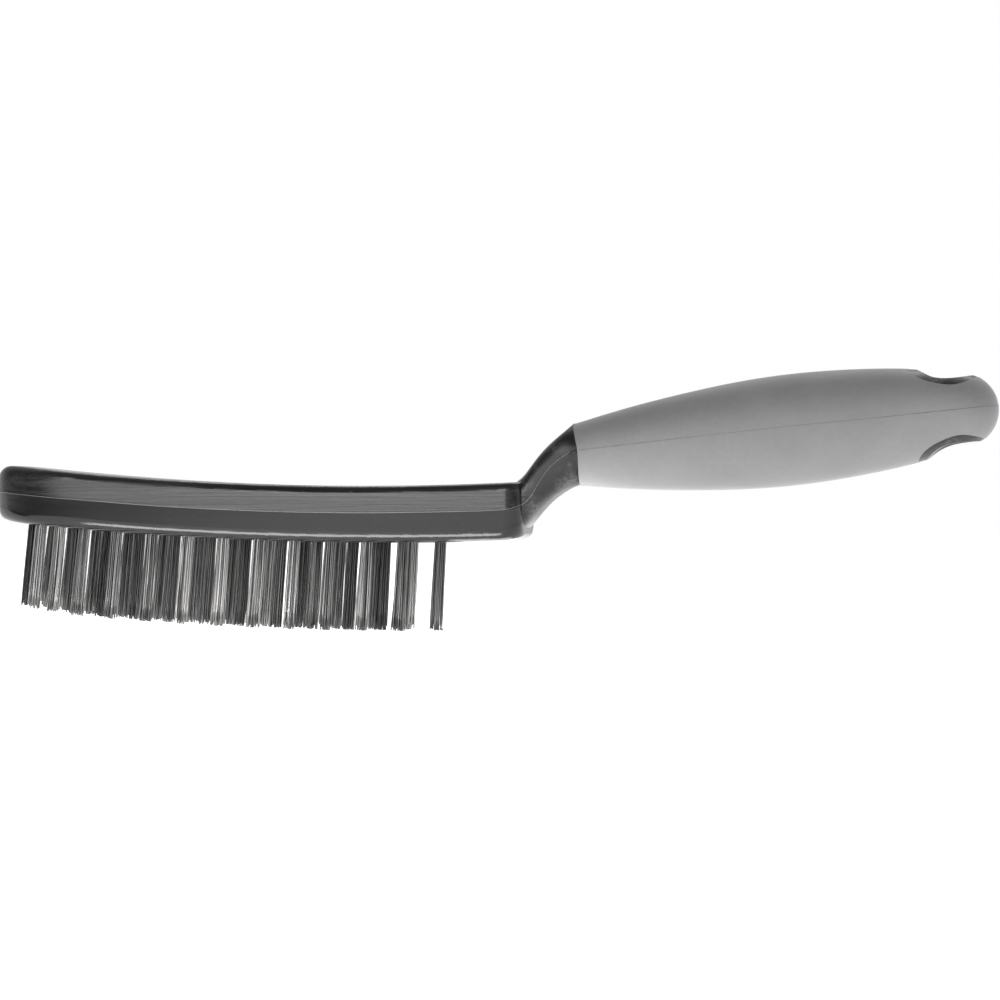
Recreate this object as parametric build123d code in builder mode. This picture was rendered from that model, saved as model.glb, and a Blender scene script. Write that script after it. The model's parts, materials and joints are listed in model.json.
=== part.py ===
from build123d import *

import os
from math import cos, pi, radians, sin, sqrt

# Hand wire brush with a swan neck: one black plastic core (head, neck, handle core and end lug),
# a soft grey grip moulded over the handle, and three rows of folded wire tufts, each held at the
# bottom of its hole by a flat anchor wire.
# Millimetres. +X runs from the nose of the head to the end of the handle, +Z is up and the
# bristles point down. The origin is at the middle of the length, on the plane of the tips.

# ---- overall ----
overall_length = 290.0
nose_x = -overall_length / 2

# ---- head ----
head_half_width = 12.0
head_edge_half_width = 11.55  # at the top and bottom edges: the draft of the two mould halves
top_low_x, top_low_z, top_radius = -33.0, 41.1, 930.0
under_low_x, under_low_z, under_radius = -27.0, 24.9, 1090.0
head_height = 16.2
parting_drop = 7.6  # parting line below the top of the head
top_edge_radius = 2.3
under_edge_radius = 3.4

nose_length, nose_squareness = 21.0, 2.2  # of the rounded plan of the nose
nose_flat = 0.06  # cut off the very tip of that plan
end_wall_x, end_corner_radius = 12.4, 4.5  # the square end of the head beside the neck

# ---- neck ----
neck_squareness = 3.4

# ---- handle, along its own tilted axis from the front edge of the grip ----
handle_tilt = 6.4
handle_squareness = 2
handle_start = (26.2, 0.0, 49.8)
cap_centre, cap_radius, cap_half_width = 109.18, 10.3, 10.9
skin_thickness = 2.4
joint_at, joint_radius = 0.5, 27.0  # the front edge of the grip, dished at both sides
joint_squareness = 2.1  # of the neck as it comes into the joint
joint_step = 0.15  # of the grip above the neck at the joint
joint_overlap = 3.0  # of the neck's own shape past the front of the grip
lug_side_skin = 1.2
lug_step = 0.12  # of the grip above the lug at the edge of the skin
hang_hole_at, hang_hole_radius = 107.0, 4.0
hang_hole_half_length = 8.2  # of the straight wall, between its two flared mouths
cut_reach = 20.0  # of cuts that run out past the handle
mouth_flare = 1.6

# ---- tufts and anchors ----
tuft_pitch = 10.6
row_spacing = 6.0
first_outer_x, first_middle_x = -22.5, -13.0
hole_radius, hole_depth = 1.7, 10.0
hole_run_out = 1.5  # how far the cut for a hole starts outside the head
tuft_root_radius, tuft_tip_radius = 1.65, 1.95
tuft_root_depth = 9.6
tuft_fold_radius = 0.9  # the round of the wires where they fold over the anchor
trim_length = 24.85
worn_from_x, wear_per_mm = -116.0, 0.06  # the tufts at the nose are worn shorter
lean_at_neck, lean_at_nose = 3.3, 6.2  # degrees towards the nose
anchor_length, anchor_thickness, anchor_height = 4.2, 0.5, 2.0
anchor_depth = 7.6  # of its middle, below the mouth of the hole
anchor_clearance = 0.04


def top_z(x):
    """Height of the top of the head, a long shallow arc."""
    return top_low_z + (x - top_low_x) ** 2 / (2 * top_radius)


def under_z(x):
    """Height of the underside of the head, where the tufts come out."""
    return under_low_z + (x - under_low_x) ** 2 / (2 * under_radius)


def head_section(x, half_width, z_low, z_high, r_low, r_high):
    """One upright section of the head: six sides, widest at the parting line, four round edges."""
    inset = head_half_width - head_edge_half_width
    z_part = z_high - parting_drop * (z_high - z_low) / head_height
    w = half_width
    with BuildSketch(Plane.YZ.offset(x)) as section:
        with BuildLine():
            Polyline(
                (w - inset, z_low), (w, z_part), (w - inset, z_high),
                (inset - w, z_high), (-w, z_part), (inset - w, z_low),
                close=True,
            )
        make_face()
        fillet(section.vertices().group_by(Axis.Y)[-1], radius=r_high)
        fillet(section.vertices().group_by(Axis.Y)[0], radius=r_low)
    return section.sketch


def egg_section(plane, half_width, half_height, squareness):
    """A closed smooth section, an ellipse at squareness 2 and boxier above that."""
    count = 24
    power = 2 / squareness
    angles = [2 * pi * i / count for i in range(count)]
    points = [
        (
            half_width * abs(cos(a)) ** power * (1 if cos(a) >= 0 else -1),
            half_height * abs(sin(a)) ** power * (1 if sin(a) >= 0 else -1),
        )
        for a in angles
    ]
    with BuildSketch(plane) as section:
        with BuildLine():
            Spline(*points, periodic=True)
        make_face()
    return section.sketch


def span_plane(low, high):
    """The plane across the neck that holds a point of its underside and one of its top."""
    middle = ((low[0] + high[0]) / 2, 0, (low[1] + high[1]) / 2)
    return Plane(origin=middle, x_dir=(0, 1, 0), z_dir=(high[1] - low[1], 0, low[0] - high[0]))


tilt = radians(handle_tilt)
handle_axis = (cos(tilt), 0, sin(tilt))
handle_plane = Plane(origin=handle_start, x_dir=(0, 1, 0), z_dir=handle_axis)
# The handle seen from the side: local X along its axis, local Y up across it.
side_plane = Plane(origin=handle_start, x_dir=handle_axis, z_dir=(0, -1, 0))

# (distance along the handle, half width, half height) of the grip, up to its round end
grip_stations = [
    (0, 9.3, 8.7), (8, 10.5, 10.15), (20, 11.9, 12.1), (34, 13.1, 13.85), (48, 13.9, 15.1),
    (61, 14.2, 15.55), (75, 14.0, 15.15), (88, 13.2, 14.1), (98, 12.4, 12.75), (106, 11.6, 11.2),
]
cap_angles = (12, 28, 44, 58, 71, 82)

# (distance along the handle, half height) of the end lug, hollowed above and below
lug_edge = [(95.0, 13.6), (97.6, 12.9), (99.2, 11.9), (101.0, 10.7), (103.5, 9.6), (108.0, 8.95),
            (112.0, 9.05), (114.2, 9.3), (117.0, 10.2)]
# (distance along the handle, height above its axis) of the edge of the skin beside the lug
window_edge = [(95.4, 13.9), (97.7, 11.0), (99.9, 9.5), (103.9, 7.9), (108.8, 7.0), (112.5, 7.7),
               (116.6, 9.4)]


def handle_sections(inset):
    """Sections of the handle, this far inside the outside of the grip."""
    stations = [(s, w - inset, h - inset) for s, w, h in grip_stations]
    for degrees in cap_angles:
        run, rise = sin(radians(degrees)), cos(radians(degrees))
        stations.append((
            cap_centre + (cap_radius - inset) * run,
            (cap_half_width - inset) * rise,
            (cap_radius - inset) * rise,
        ))
    return [egg_section(handle_plane.offset(s), w, h, handle_squareness) for s, w, h in stations]


def band_outside(edge_points, reach):
    """The two areas of the side view from an edge above the axis, and its mirror, outwards."""
    with BuildSketch() as band:
        with BuildLine():
            edge = Spline(*edge_points)
            Polyline(edge @ 1, (edge_points[-1][0], reach), (edge_points[0][0], reach), edge @ 0)
        make_face()
        mirror(about=Plane.XZ)
    return band.sketch


# ---- tuft places ----
def lean_at(x):
    share = (first_middle_x - x) / (first_middle_x - nose_x)
    return lean_at_neck + (lean_at_nose - lean_at_neck) * share


def free_length_at(x):
    return trim_length - max(0, worn_from_x - x) * wear_per_mm


outer_xs = [first_outer_x - tuft_pitch * i for i in range(9)] + [-117.0, -124.4, -130.1]
middle_xs = [first_middle_x, -29.2] + [-38.6 - tuft_pitch * i for i in range(7)]
middle_xs += [-111.6, -121.0, -134.2]
rows = {
    "left": [(x, -row_spacing) for x in outer_xs],
    "middle": [(x, 0) for x in middle_xs],
    "right": [(x, row_spacing) for x in outer_xs],
}


def hole_plane(x, y):
    """At the mouth of a tuft hole, with local +Z along the tuft, out of the head."""
    lean = radians(lean_at(x))
    return Plane(
        origin=(x, y, under_z(x)),
        x_dir=(0, 1, 0),
        z_dir=(-sin(lean), 0, -cos(lean)),
    )


all_holes = [hole_plane(x, y) for row in rows.values() for x, y in row]


# ---- the plastic core ----
# nose: (distance from the tip, drop of the top, rise of the underside, edge radius)
nose_shape = [(0.0, 5.2, 4.8, 0.7), (0.5, 3.4, 2.9, 2.2), (1.6, 1.9, 1.15, 3.0),
              (3.6, 0.6, 0.4, 3.6), (7.0, 0.1, 0.1, 3.6), (12.0, 0, 0, 3.2)]
head_sections = []
for back, drop, rise, r in nose_shape:
    share = 1 - (1 - (back + nose_flat) / (nose_length + nose_flat)) ** nose_squareness
    w = head_half_width * share ** (1 / nose_squareness)
    x = nose_x + back
    head_sections.append(head_section(x, w, under_z(x) + rise, top_z(x) - drop, r, r))
for x in (nose_x + nose_length, -112.0, -90.0, -60.0, -30.0, -8.0, 4.0):
    head_sections.append(
        head_section(x, head_half_width, under_z(x), top_z(x), under_edge_radius, top_edge_radius)
    )
# square end: (turn round its upright corner in degrees, rise of the underside)
for degrees, rise in ((0, 0.1), (20, 0.3), (35, 0.6), (50, 1.0), (65, 1.4), (80, 1.8), (88, 2.0)):
    x = end_wall_x - end_corner_radius * (1 - sin(radians(degrees)))
    w = head_half_width - end_corner_radius * (1 - cos(radians(degrees)))
    head_sections.append(
        head_section(x, w, under_z(x) + rise, top_z(x), under_edge_radius, top_edge_radius)
    )

# neck: (point of the underside, point of the top, half width)
neck_shape = [
    ((0.0, 28.4), (0.0, 39.2), 7.8), ((5.0, 27.6), (5.0, 40.2), 8.2),
    ((9.4, 27.4), (9.2, 41.9), 8.5), ((12.0, 28.9), (11.5, 43.7), 8.6),
    ((14.6, 31.9), (13.6, 46.2), 8.6), ((17.3, 35.0), (16.2, 49.6), 8.6),
    ((20.4, 37.8), (19.3, 52.9), 8.7), ((23.8, 40.0), (22.7, 55.8), 8.9),
]
neck_sections = []
for low, high, w in neck_shape:
    length = sqrt((high[0] - low[0]) ** 2 + (high[1] - low[1]) ** 2)
    neck_sections.append(egg_section(span_plane(low, high), w, length / 2, neck_squareness))
(_, front_w, front_h), (next_s, next_w, next_h) = grip_stations[:2]
past = joint_overlap / next_s
neck_sections.append(egg_section(
    handle_plane, front_w - joint_step, front_h - joint_step, joint_squareness
))
neck_sections.append(egg_section(
    handle_plane.offset(joint_overlap),
    front_w + past * (next_w - front_w) - joint_step,
    front_h + past * (next_h - front_h) - joint_step,
    handle_squareness,
))

hang_hole = Plane(
    origin=handle_plane.offset(hang_hole_at).origin,
    x_dir=handle_axis,
    z_dir=(-sin(tilt), 0, cos(tilt)),
)
# Everything behind the joint of neck and grip, as seen from above the handle.
joint_side_x = joint_at + joint_radius - sqrt(joint_radius ** 2 - cut_reach ** 2)
with BuildPart() as behind_joint:
    with BuildSketch(Plane(origin=handle_start, x_dir=handle_axis, z_dir=hang_hole.z_dir)):
        with BuildLine():
            front = ThreePointArc(
                (joint_side_x, cut_reach), (joint_at, 0), (joint_side_x, -cut_reach)
            )
            Polyline(front @ 1, (overall_length, -cut_reach), (overall_length, cut_reach), front @ 0)
        make_face()
    extrude(amount=cut_reach, both=True)

window_band = band_outside(window_edge, cut_reach)
lug_band = band_outside(lug_edge, cut_reach)

with BuildPart() as lug_rim:
    loft(handle_sections(lug_step))
    with BuildSketch(side_plane):
        add(window_band)
        add(lug_band, mode=Mode.SUBTRACT)
    extrude(amount=head_half_width + skin_thickness, both=True, mode=Mode.INTERSECT)

with BuildPart() as lug_block:
    loft(handle_sections(lug_side_skin))
    with BuildSketch(side_plane):
        with Locations(((window_edge[0][0] + window_edge[-1][0]) / 2, 0)):
            Rectangle(window_edge[-1][0] - window_edge[0][0], 2 * cut_reach)
        add(lug_band, mode=Mode.SUBTRACT)
    extrude(amount=head_half_width + skin_thickness, both=True, mode=Mode.INTERSECT)

with BuildPart() as core_blank:
    loft(neck_sections)
    add(behind_joint.part, mode=Mode.SUBTRACT)
    loft(head_sections)
    loft(handle_sections(skin_thickness))
    add(lug_block.part)
    add(lug_rim.part)

with BuildPart() as brush_body:
    add(core_blank.part)
    with Locations(*[plane.offset(hole_run_out).location for plane in all_holes]):
        Cylinder(hole_radius, hole_run_out + hole_depth, mode=Mode.SUBTRACT,
                 align=(Align.CENTER, Align.CENTER, Align.MAX))
    with Locations(*[plane.offset(-anchor_depth).location for plane in all_holes]):
        Box(anchor_length, anchor_thickness, anchor_height, mode=Mode.SUBTRACT)
    with Locations(hang_hole.location):
        Cylinder(hang_hole_radius, 2 * cut_reach, mode=Mode.SUBTRACT)
    for side in (1, -1):
        with Locations(hang_hole.offset(side * (hang_hole_half_length + mouth_flare)).location):
            Cone(
                hang_hole_radius + (0 if side > 0 else 2 * mouth_flare),
                hang_hole_radius + (2 * mouth_flare if side > 0 else 0),
                2 * mouth_flare,
                mode=Mode.SUBTRACT,
            )
brush_body.part.label = "brush_body"

# ---- the soft grip ----
with BuildPart() as soft_grip:
    loft(handle_sections(0))
    add(behind_joint.part, mode=Mode.INTERSECT)
    add(core_blank.part, mode=Mode.SUBTRACT)
    with BuildSketch(side_plane):
        add(window_band)
    extrude(amount=head_half_width + skin_thickness, both=True, mode=Mode.SUBTRACT)
soft_grip.part.label = "soft_grip"


# ---- tufts and their anchors ----
def make_tuft(x, y):
    """One folded bundle of wires as a solid: straight in its hole, flaring outside it."""
    with BuildPart(hole_plane(x, y)) as tuft:
        Cylinder(tuft_root_radius, tuft_root_depth, align=(Align.CENTER, Align.CENTER, Align.MAX))
        fillet(tuft.edges().sort_by(Axis.Z)[-1], radius=tuft_fold_radius)
        Cone(tuft_root_radius, tuft_tip_radius, free_length_at(x),
             align=(Align.CENTER, Align.CENTER, Align.MIN))
        with Locations((0, 0, -anchor_depth)):
            Box(anchor_length, anchor_thickness + 2 * anchor_clearance,
                anchor_height + 2 * anchor_clearance, mode=Mode.SUBTRACT)
    return tuft.part


def make_anchors(places):
    """The flat wires that pin one row of tufts."""
    with BuildPart(*[hole_plane(x, y).offset(-anchor_depth) for x, y in places]) as anchors:
        Box(anchor_length, anchor_thickness, anchor_height)
    return anchors.part


parts = [brush_body.part, soft_grip.part]
for row, places in rows.items():
    for number, (x, y) in enumerate(sorted(places, reverse=True), start=1):
        tuft_part = make_tuft(x, y)
        tuft_part.label = f"tuft_{row}_{number:02d}"
        parts.append(tuft_part)
    row_anchors = make_anchors(places)
    row_anchors.label = f"anchors_{row}"
    parts.append(row_anchors)

os.makedirs("parts", exist_ok=True)
for part in parts:
    export_step(part, f"parts/{part.label}.step")
    box = part.bounding_box()
    print(part.label, round(part.volume, 1), len(part.solids()), box.min, box.max)
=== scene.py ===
import json
import random
from math import cos, hypot, pi, radians, sin, sqrt

import bmesh
import bpy
from mathutils import Matrix, Vector
from mathutils.bvhtree import BVHTree

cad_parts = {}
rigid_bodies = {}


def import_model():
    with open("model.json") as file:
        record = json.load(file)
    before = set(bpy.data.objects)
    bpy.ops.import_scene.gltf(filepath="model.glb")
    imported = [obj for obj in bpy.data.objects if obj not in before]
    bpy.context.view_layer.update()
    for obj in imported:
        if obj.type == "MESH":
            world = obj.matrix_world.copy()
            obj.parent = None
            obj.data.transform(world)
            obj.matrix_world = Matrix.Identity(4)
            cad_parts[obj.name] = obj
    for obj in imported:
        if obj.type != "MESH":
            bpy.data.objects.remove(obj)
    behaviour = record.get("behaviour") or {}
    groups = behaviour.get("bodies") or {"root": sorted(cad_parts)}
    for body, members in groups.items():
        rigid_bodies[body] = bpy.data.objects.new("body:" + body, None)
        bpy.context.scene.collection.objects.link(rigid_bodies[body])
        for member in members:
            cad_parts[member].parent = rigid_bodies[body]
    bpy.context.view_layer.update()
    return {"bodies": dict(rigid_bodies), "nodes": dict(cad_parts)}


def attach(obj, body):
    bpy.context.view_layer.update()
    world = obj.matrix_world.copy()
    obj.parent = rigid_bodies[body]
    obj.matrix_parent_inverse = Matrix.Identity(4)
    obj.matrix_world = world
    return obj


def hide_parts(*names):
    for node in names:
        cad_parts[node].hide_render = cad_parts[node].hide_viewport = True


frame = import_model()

# A hand wire brush with a swan neck. The black core and the grey grip are the CAD's own pieces
# with new materials; each tuft becomes a bundle of single folded wires, and the mould's parting
# lines are thin ridges of plastic. Metres, in the CAD's frame.

MM = 0.001
nodes = frame["nodes"]
BODY = next(iter(frame["bodies"]))


# ---------------------------------------------------------------- camera
view_yaw = radians(12.25)  # the camera stands on the handle's side of square-on
view_distance = 1.1
eye_height = 37.1 * MM
lens_width = 36.0
focal_length = 139.5
aim_x = 4.1 * MM

camera_data = bpy.data.cameras.new("camera")
camera_data.lens = focal_length
camera_data.sensor_width = lens_width
camera_data.clip_start = 0.05
camera = bpy.data.objects.new("camera", camera_data)
bpy.context.scene.collection.objects.link(camera)
camera.location = (view_distance * sin(view_yaw), -view_distance * cos(view_yaw), eye_height)
aim = Vector((aim_x * cos(view_yaw), aim_x * sin(view_yaw), eye_height))
camera.rotation_euler = (aim - camera.location).to_track_quat("-Z", "Y").to_euler()
bpy.context.scene.camera = camera


# ---------------------------------------------------------------- node helpers
def new_material(name):
    """A new material, its node tree and its shader."""
    material = bpy.data.materials.new(name)
    material.use_nodes = True
    tree = material.node_tree
    return material, tree, tree.nodes["Principled BSDF"]


def add_node(tree, kind, **values):
    """A shader node with its properties and input defaults set; a_b names the input "A B"."""
    node = tree.nodes.new(kind)
    for key, value in values.items():
        if hasattr(node, key):
            setattr(node, key, value)
        else:
            node.inputs[key.replace("_", " ")].default_value = value
    return node


def noise(tree, where, scale, detail=4.0, roughness=0.55, stretch=(1, 1, 1)):
    """Noise over object coordinates given in where, stretched along any axis."""
    mapping = add_node(tree, "ShaderNodeMapping")
    mapping.inputs["Scale"].default_value = stretch
    texture = add_node(tree, "ShaderNodeTexNoise", Scale=scale, Detail=detail, Roughness=roughness)
    tree.links.new(where, mapping.inputs["Vector"])
    tree.links.new(mapping.outputs["Vector"], texture.inputs["Vector"])
    return texture.outputs["Fac"]


def remap(tree, value, low, high, to_low, to_high):
    """The range low to high of a value mapped to to_low to to_high, and held at its ends."""
    node = add_node(tree, "ShaderNodeMapRange", From_Min=low, From_Max=high,
                    To_Min=to_low, To_Max=to_high)
    tree.links.new(value, node.inputs["Value"])
    return node.outputs["Result"]


def math_node(tree, operation, a, b):
    """A Math node on two sockets or plain numbers."""
    node = add_node(tree, "ShaderNodeMath", operation=operation)
    for socket, value in zip(node.inputs, (a, b)):
        if isinstance(value, (int, float)):
            socket.default_value = value
        else:
            tree.links.new(value, socket)
    return node.outputs["Value"]


def blend_colours(tree, factor, dark, light):
    """From dark at factor 0 to light at 1, and on past light when the factor is above 1."""
    node = add_node(tree, "ShaderNodeMix", data_type="RGBA", clamp_factor=False)
    node.inputs["A"].default_value = (*dark, 1)
    node.inputs["B"].default_value = (*light, 1)
    tree.links.new(factor, node.inputs["Factor"])
    return node.outputs["Result"]


def add_bump(tree, shader, height, strength, distance):
    """Fine relief on a shader's normal."""
    node = add_node(tree, "ShaderNodeBump", Strength=strength, Distance=distance)
    tree.links.new(height, node.inputs["Height"])
    tree.links.new(node.outputs["Normal"], shader.inputs["Normal"])


# ---------------------------------------------------------------- materials
# the arc of the parting line along the head, and where the neck's glossier finish and its painted
# highlight patches begin
head_low_x, parting_low_z, head_arc_radius = -33 * MM, 33.5 * MM, 0.93
streak_edge = 0.6 * MM  # over which the lighter streaks of the head's upper half set in above the parting line
neck_start_x, neck_full_x = 12.5 * MM, 15.5 * MM
# the grip's seam is darker in patches from its front to here, and again from here to its end
seam_front_x, seam_plain_x, seam_rear_x, seam_end_x = 45 * MM, 75 * MM, 105 * MM, 125 * MM


def core_material(name, dark, light):
    """Black moulded plastic: lighter streaks over the head's upper half, and painted highlights as
    bright patches on the neck.
    """
    material, tree, shader = new_material(name)
    where = add_node(tree, "ShaderNodeTexCoord").outputs["Object"]
    split = add_node(tree, "ShaderNodeSeparateXYZ")
    tree.links.new(where, split.inputs["Vector"])
    along, height = split.outputs["X"], split.outputs["Z"]
    # height above the parting line of the head, a long shallow arc
    from_low = math_node(tree, "SUBTRACT", along, head_low_x)
    arc = math_node(tree, "DIVIDE", math_node(tree, "MULTIPLY", from_low, from_low),
                    2 * head_arc_radius)
    above = math_node(tree, "SUBTRACT", height, math_node(tree, "ADD", arc, parting_low_z))
    on_neck = remap(tree, along, neck_start_x, neck_full_x, 0, 1)
    # the head's upper half, above the parting line, is made lighter with streaks; the lower half and
    # the neck are not
    upper = math_node(tree, "MULTIPLY", remap(tree, above, 0, streak_edge, 0.12, 1),
                      math_node(tree, "SUBTRACT", 1, on_neck))
    streaks = noise(tree, where, 1500, 6, 0.65, (0.018, 1, 1))
    bands = noise(tree, where, 420, 3, 0.5, (0.02, 1, 1))
    patches = noise(tree, where, 130, 2, 0.45)
    grain = noise(tree, where, 3200, 4, 0.65)
    specks = noise(tree, where, 1400, 2, 0.5)
    streak_share = math_node(tree, "MULTIPLY", upper,
                             remap(tree, math_node(tree, "ADD", streaks, bands), 0.8, 1.2, 0, 1))
    # painted highlights: the neck's bright mottled patches, pushed past the light colour and
    # speckled, stand in for its reflections
    neck_highlight_share = math_node(tree, "MULTIPLY", on_neck, remap(tree, patches, 0.48, 0.66, 0, 3.4))
    highlight_speckle = remap(tree, noise(tree, where, 1100, 6, 0.7), 0.4, 0.6, 0.1, 1.5)
    neck_highlight_share = math_node(tree, "MULTIPLY", neck_highlight_share, highlight_speckle)
    speck_share = math_node(tree, "MULTIPLY", remap(tree, specks, 0.69, 0.76, 0, 1), 0.5)
    marks = math_node(tree, "MAXIMUM", math_node(tree, "MAXIMUM", streak_share, neck_highlight_share),
                      speck_share)
    shade = math_node(tree, "MULTIPLY", marks, remap(tree, grain, 0.3, 0.7, 0.55, 1))
    tree.links.new(blend_colours(tree, shade, dark, light), shader.inputs["Base Color"])
    gloss = math_node(tree, "MAXIMUM", shade, math_node(tree, "MULTIPLY", on_neck, 1.1))
    tree.links.new(remap(tree, gloss, 0, 1.6, 0.16, 0.46), shader.inputs["Roughness"])
    relief = math_node(tree, "ADD", math_node(tree, "MULTIPLY", streak_share, 0.6),
                       math_node(tree, "MULTIPLY", grain, 0.35))
    add_bump(tree, shader, relief, 0.3, 0.08 * MM)
    return material


def grip_material():
    """Soft matte grey over-moulding with a fine mottle."""
    material, tree, shader = new_material("grip_rubber")
    where = add_node(tree, "ShaderNodeTexCoord").outputs["Object"]
    clouds = noise(tree, where, 70, 3, 0.5)
    mottle = noise(tree, where, 700, 4, 0.6)
    grain = noise(tree, where, 5000, 3, 0.6)
    mixed = math_node(tree, "ADD", math_node(tree, "MULTIPLY", clouds, 0.5),
                      math_node(tree, "MULTIPLY", mottle, 0.5))
    shade = remap(tree, mixed, 0.35, 0.65, 0, 1)
    tree.links.new(blend_colours(tree, shade, (0.208, 0.208, 0.209), (0.24, 0.24, 0.241)),
                   shader.inputs["Base Color"])
    tree.links.new(remap(tree, mottle, 0.3, 0.7, 0.5, 0.66), shader.inputs["Roughness"])
    add_bump(tree, shader, grain, 0.18, 0.06 * MM)
    shader.inputs["Specular IOR Level"].default_value = 0.5
    shader.inputs["Sheen Weight"].default_value = 0.35
    shader.inputs["Sheen Roughness"].default_value = 0.35
    return material


def seam_material():
    """The grip's own seam: the same rubber, darker in patches along it towards both ends."""
    material, tree, shader = new_material("grip_seam")
    where = add_node(tree, "ShaderNodeTexCoord").outputs["Object"]
    split = add_node(tree, "ShaderNodeSeparateXYZ")
    tree.links.new(where, split.inputs["Vector"])
    seam_mottle = remap(tree, noise(tree, where, 400, 3, 0.6), 0.35, 0.65, 0, 1)
    front = remap(tree, split.outputs["X"], seam_front_x, seam_plain_x, 1, 0)
    rear = remap(tree, split.outputs["X"], seam_rear_x, seam_end_x, 0, 1)
    # darker in patches along the seam near its front and near its end
    seam_darkening = math_node(tree, "MULTIPLY", seam_mottle, math_node(tree, "MAXIMUM", front, rear))
    tree.links.new(blend_colours(tree, seam_darkening, (0.2, 0.2, 0.2), (0.1, 0.1, 0.1)),
                   shader.inputs["Base Color"])
    shader.inputs["Roughness"].default_value = 0.6
    return material


def wire_material():
    """Drawn steel wire; each wire has its own tone from the attribute wire_tone, darker for the
    middle row as painted shade.
    """
    material, tree, shader = new_material("tuft_wire")
    tone = add_node(tree, "ShaderNodeAttribute", attribute_name="wire_tone").outputs["Fac"]
    where = add_node(tree, "ShaderNodeTexCoord").outputs["Object"]
    drawn = noise(tree, where, 3000, 3, 0.6, (1, 1, 0.05))
    mixed = math_node(tree, "ADD", math_node(tree, "MULTIPLY", tone, 0.8),
                      math_node(tree, "MULTIPLY", drawn, 0.2))
    tree.links.new(blend_colours(tree, mixed, (0.01, 0.01, 0.01), (0.46, 0.455, 0.45)),
                   shader.inputs["Base Color"])
    tree.links.new(remap(tree, drawn, 0.3, 0.7, 0.28, 0.42), shader.inputs["Roughness"])
    shader.inputs["Metallic"].default_value = 1.0
    return material


def cut_end_material():
    """The bright sheared ends of the wires."""
    material, tree, shader = new_material("wire_cut_end")
    where = add_node(tree, "ShaderNodeTexCoord").outputs["Object"]
    marks = noise(tree, where, 9000, 2, 0.5)
    tree.links.new(blend_colours(tree, marks, (0.5, 0.49, 0.48), (0.8, 0.79, 0.78)),
                   shader.inputs["Base Color"])
    shader.inputs["Roughness"].default_value = 0.35
    shader.inputs["Metallic"].default_value = 1.0
    return material


def anchor_material():
    """Plain flat steel wire."""
    material, tree, shader = new_material("anchor_steel")
    where = add_node(tree, "ShaderNodeTexCoord").outputs["Object"]
    marks = noise(tree, where, 2500, 3, 0.5, (1, 0.1, 1))
    tree.links.new(blend_colours(tree, marks, (0.4, 0.4, 0.4), (0.6, 0.6, 0.6)),
                   shader.inputs["Base Color"])
    tree.links.new(remap(tree, marks, 0.3, 0.7, 0.3, 0.5), shader.inputs["Roughness"])
    shader.inputs["Metallic"].default_value = 1.0
    return material


core_plastic = core_material("core_plastic", (0.009, 0.009, 0.0095), (0.032, 0.032, 0.033))
core_flash = core_material("core_flash", (0.13, 0.13, 0.13), (0.24, 0.24, 0.24))
grip_rubber = grip_material()
grip_seam = seam_material()
tuft_wire = wire_material()
wire_cut_end = cut_end_material()
anchor_steel = anchor_material()


def paint(obj, *materials):
    """Gives an object these materials and no others."""
    obj.data.materials.clear()
    for material in materials:
        obj.data.materials.append(material)


def new_mesh(name, vertices, faces):
    """A smooth-shaded object from vertices and faces."""
    mesh = bpy.data.meshes.new(name)
    mesh.from_pydata(vertices, [], faces)
    mesh.validate()
    mesh.polygons.foreach_set("use_smooth", [True] * len(mesh.polygons))
    obj = bpy.data.objects.new(name, mesh)
    bpy.context.scene.collection.objects.link(obj)
    return obj


# ---------------------------------------------------------------- core, grip and anchors
paint(nodes["brush_body"], core_plastic)
paint(nodes["soft_grip"], grip_rubber)
for row in ("left", "middle", "right"):
    paint(nodes["anchors_" + row], anchor_steel)


# ---------------------------------------------------------------- wire tufts
wires_per_tuft = 31
wire_radius = 0.17 * MM
wire_sides = 6
root_depth = 9.6 * MM  # of the folded end, below the mouth
anchor_end_depth = 8.7 * MM  # of the deep edge of the anchor
bundle_radius = 1.53 * MM
anchor_gap = 0.43 * MM  # from the middle of the anchor to the nearest wires
centre_gap = 0.1 * MM  # the same at the mouth, where the two sides have closed up
wire_pitch = 0.345 * MM
row_pitch = wire_pitch * sqrt(3) / 2
row_span = 3 * row_pitch
tip_spread, spread_range = 1.05, (0.8, 1.2)  # width at the tips as a share of that at the mouth
wander, stray_wander, stray_share = 0.13 * MM, 0.75 * MM, 0.035  # of the tips, sideways
bow = 0.08 * MM  # of a wire between its mouth and its tip
early_spread = 0.5  # share of the spread that comes quickly, close to the mouth
trim_mean, trim_scatter, trim_most = -0.6, 0.75, 0.15  # of the cut lengths, in millimetres
straight_end, straight_root = 2.2 * MM, 3.4 * MM  # of a leg beside the anchor and in its hole
leg_steps, fold_steps = 6, 5
outer_row_tone, middle_row_painted_shade = (0.35, 0.8), (0.04, 0.36)  # from dark to bright steel; the middle row's darker range is painted shade, for the shadow of the outer rows
wire_tone_range = (0.1, 1.5)  # of single wires, times the tone of their tuft
first_tuft_seed = 100
end_slack = 0.4 * MM  # depth of the slice of a tuft's solid that counts as one of its ends


def tuft_axis(node):
    """Middle of the root end and middle of the tip end of a tuft's CAD solid."""
    points = [v.co for v in node.data.vertices]
    low, high = min(p.z for p in points), max(p.z for p in points)
    tip = [p for p in points if p.z < low + end_slack]
    root = [p for p in points if p.z > high - end_slack]

    def middle(group):
        xs, ys, zs = ([p[i] for p in group] for i in range(3))
        return Vector([(min(c) + max(c)) / 2 for c in (xs, ys, zs)])

    return middle(root), middle(tip)


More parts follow.
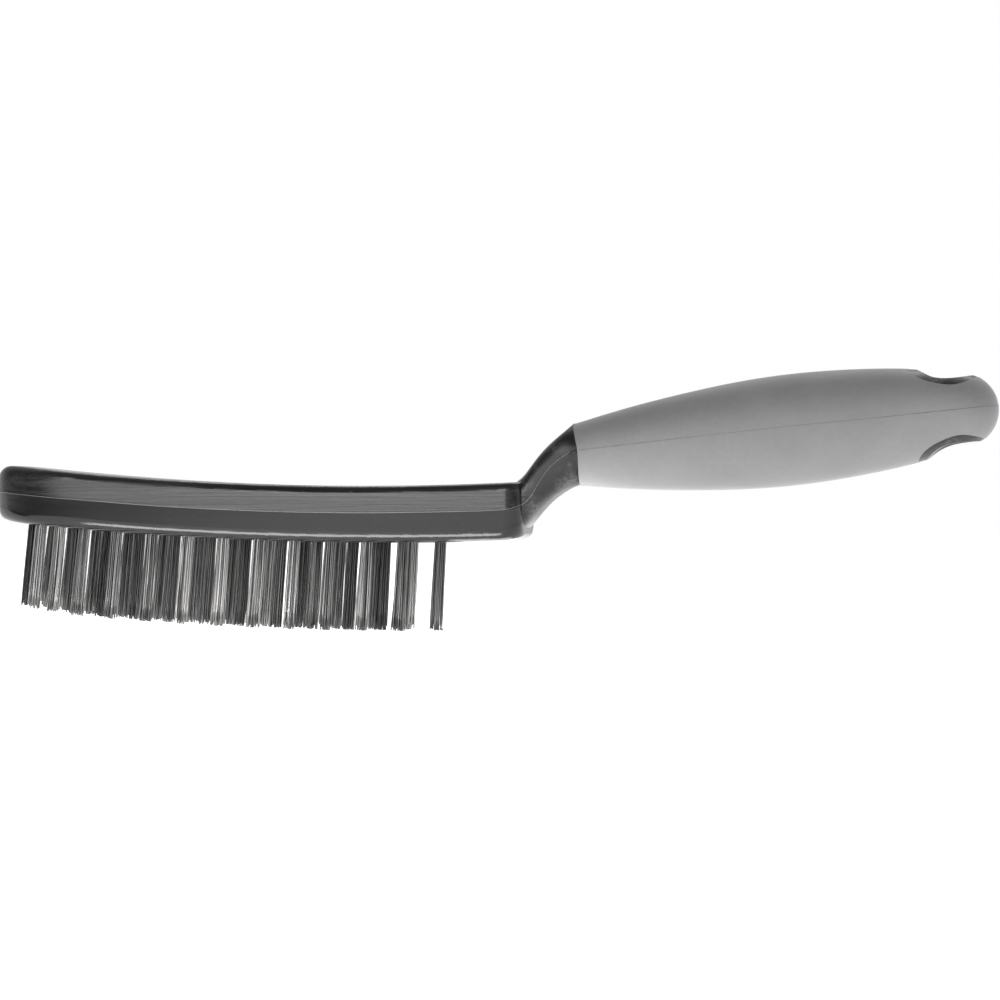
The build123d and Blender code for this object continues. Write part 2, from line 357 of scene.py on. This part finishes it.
def half_disc_places(count, rng):
    """Places for wires on one side of the anchor: (along it, away from it), packed in rows."""
    places = []
    for row in range(round(row_span / row_pitch) + 1):
        away = anchor_gap + row * row_pitch
        half = sqrt(bundle_radius ** 2 - away ** 2)
        along = -half + (wire_pitch / 2 if row % 2 else 0)
        while along <= half:
            places.append((along, away))
            along += wire_pitch
    rng.shuffle(places)
    return places[:count]


def leg_path(side, along, away, length, rng):
    """Points (across, along, depth) of one leg, from beside the anchor to its cut tip."""
    scatter = stray_wander if rng.random() < stray_share else wander
    spread = tip_spread * rng.uniform(*spread_range)
    opened = centre_gap + (away - anchor_gap) * (bundle_radius - centre_gap) / row_span
    squeeze = min(1, bundle_radius / hypot(opened, along))
    mouth_across, along = side * opened * squeeze, along * squeeze
    tip_across = mouth_across * spread + rng.gauss(0, scatter)
    tip_along = along * spread + rng.gauss(0, scatter)
    bend_across, bend_along = rng.gauss(0, bow), rng.gauss(0, bow)
    path = [
        (side * away, along, -anchor_end_depth),
        (side * away, along, -anchor_end_depth + straight_end),
        (mouth_across, along, -straight_root),
        (mouth_across, along, 0.0),
    ]
    for i in range(1, leg_steps + 1):
        t = i / leg_steps
        ease = early_spread * sqrt(t) + (1 - early_spread) * t
        bulge = 4 * t * (1 - t)
        path.append((
            mouth_across + (tip_across - mouth_across) * ease + bend_across * bulge,
            along + (tip_along - along) * ease + bend_along * bulge,
            length * t,
        ))
    return path


def sweep(path, radius, sides, vertices, faces, cap_faces):
    """Adds a round tube along path, closed at both ends."""
    first = len(vertices)
    reference = Vector((1, 0, 0))
    for i, point in enumerate(path):
        ahead = path[min(i + 1, len(path) - 1)]
        behind = path[max(i - 1, 0)]
        tangent = (ahead - behind).normalized()
        reference = (reference - tangent * reference.dot(tangent)).normalized()
        other = tangent.cross(reference)
        for k in range(sides):
            angle = 2 * pi * k / sides
            vertices.append(point + reference * (radius * cos(angle)) + other * (radius * sin(angle)))
    for i in range(len(path) - 1):
        for k in range(sides):
            a = first + i * sides + k
            b = first + i * sides + (k + 1) % sides
            faces.append((a, b, b + sides, a + sides))
    cap_faces.append(len(faces))
    faces.append(tuple(first + k for k in reversed(range(sides))))
    cap_faces.append(len(faces))
    last = first + (len(path) - 1) * sides
    faces.append(tuple(last + k for k in range(sides)))


def make_tuft(name, seed):
    """The bundle of folded wires in place of one tuft's CAD solid."""
    rng = random.Random(seed)
    # the middle row's wires are painted darker: painted shade for the shadow the outer rows cast on
    # them
    shade = rng.uniform(*(middle_row_painted_shade if "middle" in name else outer_row_tone))
    node = nodes[name]
    root, tip = tuft_axis(node)
    out = (tip - root).normalized()
    along_axis = Vector((0, 1, 0))
    across_axis = along_axis.cross(out).normalized()
    mouth = root + out * root_depth
    free_length = (tip - mouth).length
    vertices, faces, cap_faces, tones = [], [], [], []

    def place(p):
        return mouth + across_axis * p[0] + along_axis * p[1] + out * p[2]

    plain = half_disc_places(wires_per_tuft, rng)
    facing = half_disc_places(wires_per_tuft, rng)
    for (along_a, away_a), (along_b, away_b) in zip(plain, facing):
        lengths = []
        for _ in range(2):
            trim = min(trim_most, rng.gauss(trim_mean, trim_scatter))
            lengths.append(free_length + trim * MM)
        leg_a = leg_path(1, along_a, away_a, lengths[0], rng)
        leg_b = leg_path(-1, along_b, away_b, lengths[1], rng)
        fold = []
        fold_height = min((away_a + away_b) / 2, root_depth - anchor_end_depth)
        for i in range(1, fold_steps):
            share = i / fold_steps
            turn = pi * share
            across = (away_a + away_b) / 2 * cos(turn) + (away_a - away_b) / 2
            fold.append((across, along_a + (along_b - along_a) * share,
                         -anchor_end_depth - fold_height * sin(turn)))
        path = [place(p) for p in reversed(leg_a)] + [place(p) for p in fold]
        path += [place(p) for p in leg_b]
        before = len(vertices)
        sweep(path, wire_radius, wire_sides, vertices, faces, cap_faces)
        tones += [shade * rng.uniform(*wire_tone_range)] * (len(vertices) - before)

    tuft = new_mesh(name.replace("tuft_", "wires_"), vertices, faces)
    paint(tuft, tuft_wire, wire_cut_end)
    for index in cap_faces:
        tuft.data.polygons[index].material_index = 1
        tuft.data.polygons[index].use_smooth = False
    attribute = tuft.data.attributes.new("wire_tone", "FLOAT", "POINT")
    attribute.data.foreach_set("value", tones)
    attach(tuft, BODY)
    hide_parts(name)


tuft_names = sorted(name for name in nodes if name.startswith("tuft_"))
for number, name in enumerate(tuft_names):
    make_tuft(name, first_tuft_seed + number)


# ---------------------------------------------------------------- parting lines
core_ridge, grip_ridge = 0.13 * MM, 0.1 * MM  # half widths
ridge_height = 0.09 * MM
reach = 0.06  # of the rays that find the surface
curve_steps = 200


def mesh_tree(node):
    """The node's surface, ready for rays."""
    mesh = node.data
    return BVHTree.FromPolygons([v.co for v in mesh.vertices], [p.vertices for p in mesh.polygons])


def surface_at(tree, centre, outward):
    """Where a ray from outside towards centre meets the surface, with the surface's normal."""
    outward = outward.normalized()
    place, normal, _, _ = tree.ray_cast(centre + outward * reach, -outward)
    return place, normal


def make_ridge(name, hits, half_width, material):
    """A low rounded ridge along places on the surface."""
    vertices, faces = [], []
    profile = ((-1, -0.6), (-0.55, 0.5), (0, 1), (0.55, 0.5), (1, -0.6))
    count = len(profile)
    places = [hit[0] for hit in hits]
    for i, (place, normal) in enumerate(hits):
        ahead, behind = places[min(i + 1, len(places) - 1)], places[max(i - 1, 0)]
        across = (ahead - behind).normalized().cross(normal).normalized()
        for u, v in profile:
            vertices.append(place + across * (u * half_width) + normal * (v * ridge_height))
    for i in range(len(places) - 1):
        for k in range(count):
            a, b = i * count + k, i * count + (k + 1) % count
            faces.append((a, b, b + count, a + count))
    faces.append(tuple(reversed(range(count))))
    faces.append(tuple((len(places) - 1) * count + k for k in range(count)))
    ridge = new_mesh(name, vertices, faces)
    paint(ridge, material)
    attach(ridge, BODY)


def smooth_curve(points, count):
    """Evenly shared points of a smooth curve through points of the side view."""
    curve = []
    spans = len(points) - 1
    for i in range(count + 1):
        at = min(i / count * spans, spans - 1e-6)
        k = int(at)
        t = at - k
        near = [points[max(k - 1, 0)], points[k], points[k + 1], points[min(k + 2, spans)]]
        curve.append(tuple(
            0.5 * (2 * b + (c - a) * t + (2 * a - 5 * b + 4 * c - d) * t * t
                   + (3 * b - a - 3 * c + d) * t ** 3)
            for a, b, c, d in zip(*near)
        ))
    return curve


def side_hits(tree, curve, side):
    """Where a curve of the side view falls on one side of the brush."""
    hits = [surface_at(tree, Vector((x, 0, z)), Vector((0, side, 0))) for x, z in curve]
    return [hit for hit in hits if hit[0] is not None]


def end_hits(tree, centre, axis, steps=48):
    """Round an end of the brush from the left side to the right, in the plane of axis and Y."""
    hits = []
    for i in range(1, steps):
        angle = pi * i / steps
        outward = axis * sin(angle) + Vector((0, -cos(angle), 0))
        hits.append(surface_at(tree, centre, outward))
    return [hit for hit in hits if hit[0] is not None]


# side-view places (x, z) in millimetres: along the head and up the neck, then along the grip
core_parting = [(-124, 37.7), (-112, 36.8), (-90, 35.2), (-62, 33.95), (-35, 33.5), (-10, 33.8),
                (6, 34.3), (11.0, 35.2), (14.4, 37.6), (17.4, 42.4), (20.6, 46.6), (25.0, 49.9),
                (27.7, 51.0)]
grip_parting = [(28.4, 51.0), (55, 53.9), (85, 57.0), (110, 59.4), (134, 61.9)]
nose_outward = Vector((-1, 0, 0.09)).normalized()
handle_tilt = radians(6.4)
handle_outward = Vector((cos(handle_tilt), 0, sin(handle_tilt)))
for name, node, route, outward, half_width, slot, material in (
    ("core_parting_line", "brush_body", core_parting[::-1], nose_outward, core_ridge,
     "core_plastic", core_flash),
    ("grip_parting_line", "soft_grip", grip_parting, handle_outward, grip_ridge,
     "grip_rubber", grip_seam),
):
    tree = mesh_tree(nodes[node])
    curve = [(x * MM, z * MM) for x, z in smooth_curve(route, curve_steps)]
    end = Vector((curve[-1][0], 0, curve[-1][1]))
    hits = side_hits(tree, curve, -1) + end_hits(tree, end, outward)
    hits += side_hits(tree, curve[::-1], 1)
    make_ridge(name, hits, half_width, material)


flash_place = Vector((27.1 * MM, 0, 50.4 * MM))
flash_half_size = Vector((1.35, 0.3, 0.5)) * MM
flash_turn = radians(-25)
flash_roughness, flash_seed = 0.12, 31


def make_flash(name, side):
    """A small lump of flash where the core's parting line runs into the edge of the grip."""
    rng = random.Random(flash_seed + side)
    lump = bmesh.new()
    bmesh.ops.create_icosphere(lump, subdivisions=3, radius=1.0)
    place, _ = surface_at(mesh_tree(nodes["brush_body"]), flash_place, Vector((0, side, 0)))
    turn = Matrix.Rotation(flash_turn, 4, "Y")
    for vertex in lump.verts:
        rough = 1 + rng.uniform(-flash_roughness, flash_roughness)
        local = turn @ Vector([a * b * rough for a, b in zip(vertex.co, flash_half_size)])
        vertex.co = place + local
    mesh = bpy.data.meshes.new(name)
    lump.to_mesh(mesh)
    lump.free()
    mesh.polygons.foreach_set("use_smooth", [True] * len(mesh.polygons))
    flash = bpy.data.objects.new(name, mesh)
    bpy.context.scene.collection.objects.link(flash)
    paint(flash, core_plastic)
    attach(flash, BODY)


make_flash("joint_flash_left", -1)
make_flash("joint_flash_right", 1)


# ---------------------------------------------------------------- studio
def make_floor():
    """A white sheet that glows a little, so that the brush throws no shadow on it."""
    size = 3.0
    vertices = [(-size, -size, 0), (size, -size, 0), (size, size, 0), (-size, size, 0)]
    floor = new_mesh("floor", vertices, [(0, 1, 2, 3)])
    material, _, shader = new_material("floor_white")
    shader.inputs["Base Color"].default_value = (0.9, 0.9, 0.9, 1)
    shader.inputs["Roughness"].default_value = 0.9
    shader.inputs["Emission Color"].default_value = (1, 1, 1, 1)
    shader.inputs["Emission Strength"].default_value = 1.0
    paint(floor, material)


def make_flag():
    """A black card on the floor at the front left, for the dark end of the nose's reflection."""
    low_x, high_x, low_y, high_y = -0.62, -0.185, -0.75, -0.04
    height = 1.0 * MM
    vertices = [(low_x, low_y, height), (high_x, low_y, height), (high_x, high_y, height),
                (low_x, high_y, height)]
    flag = new_mesh("black_flag", vertices, [(0, 1, 2, 3)])
    material, _, shader = new_material("flag_black")
    shader.inputs["Base Color"].default_value = (0.015, 0.015, 0.015, 1)
    shader.inputs["Roughness"].default_value = 0.95
    paint(flag, material)


def add_softbox(name, place, target, width, height, power):
    """A rectangular lamp at place that faces target."""
    data = bpy.data.lights.new(name, "AREA")
    data.shape = "RECTANGLE"
    data.size, data.size_y = width, height
    data.energy = power
    light = bpy.data.objects.new(name, data)
    bpy.context.scene.collection.objects.link(light)
    light.location = place
    light.rotation_euler = (Vector(target) - Vector(place)).to_track_quat("-Z", "Y").to_euler()


make_floor()
make_flag()
add_softbox("front_softbox", (-0.27, -1.5, 0.47), (0, 0, 0.04), 0.8, 0.62, 9.4)
add_softbox("back_softbox", (0.2, 1.2, 1.5), (0, 0, 0.04), 1.8, 0.7, 12)
# flat on the floor, facing up, for the highlights along the lower edges of the head and neck
add_softbox("floor_strip", (-0.0635, -0.036, 0.0006), (-0.0635, -0.036, 1), 0.131, 0.02, 0.08)
add_softbox("neck_strip", (0.002, 0.022, 0.0006), (0.002, 0.022, 1), 0.03, 0.06, 0.028)


def make_world():
    """A white backdrop that darkens overhead and towards the camera's side."""
    world = bpy.data.worlds.new("studio")
    world.use_nodes = True
    tree = world.node_tree
    background = tree.nodes["Background"]
    split = add_node(tree, "ShaderNodeSeparateXYZ")
    tree.links.new(add_node(tree, "ShaderNodeTexCoord").outputs["Generated"],
                   split.inputs["Vector"])
    overhead = remap(tree, split.outputs["Z"], 0.15, 0.45, 1, 0.5)
    behind_camera = remap(tree, split.outputs["Y"], -0.3, 0.35, 0.25, 1)
    tree.links.new(math_node(tree, "MULTIPLY", overhead, behind_camera),
                   background.inputs["Strength"])
    background.inputs["Color"].default_value = (1, 1, 1, 1)
    bpy.context.scene.world = world


make_world()
bpy.context.scene.view_settings.view_transform = "Standard"
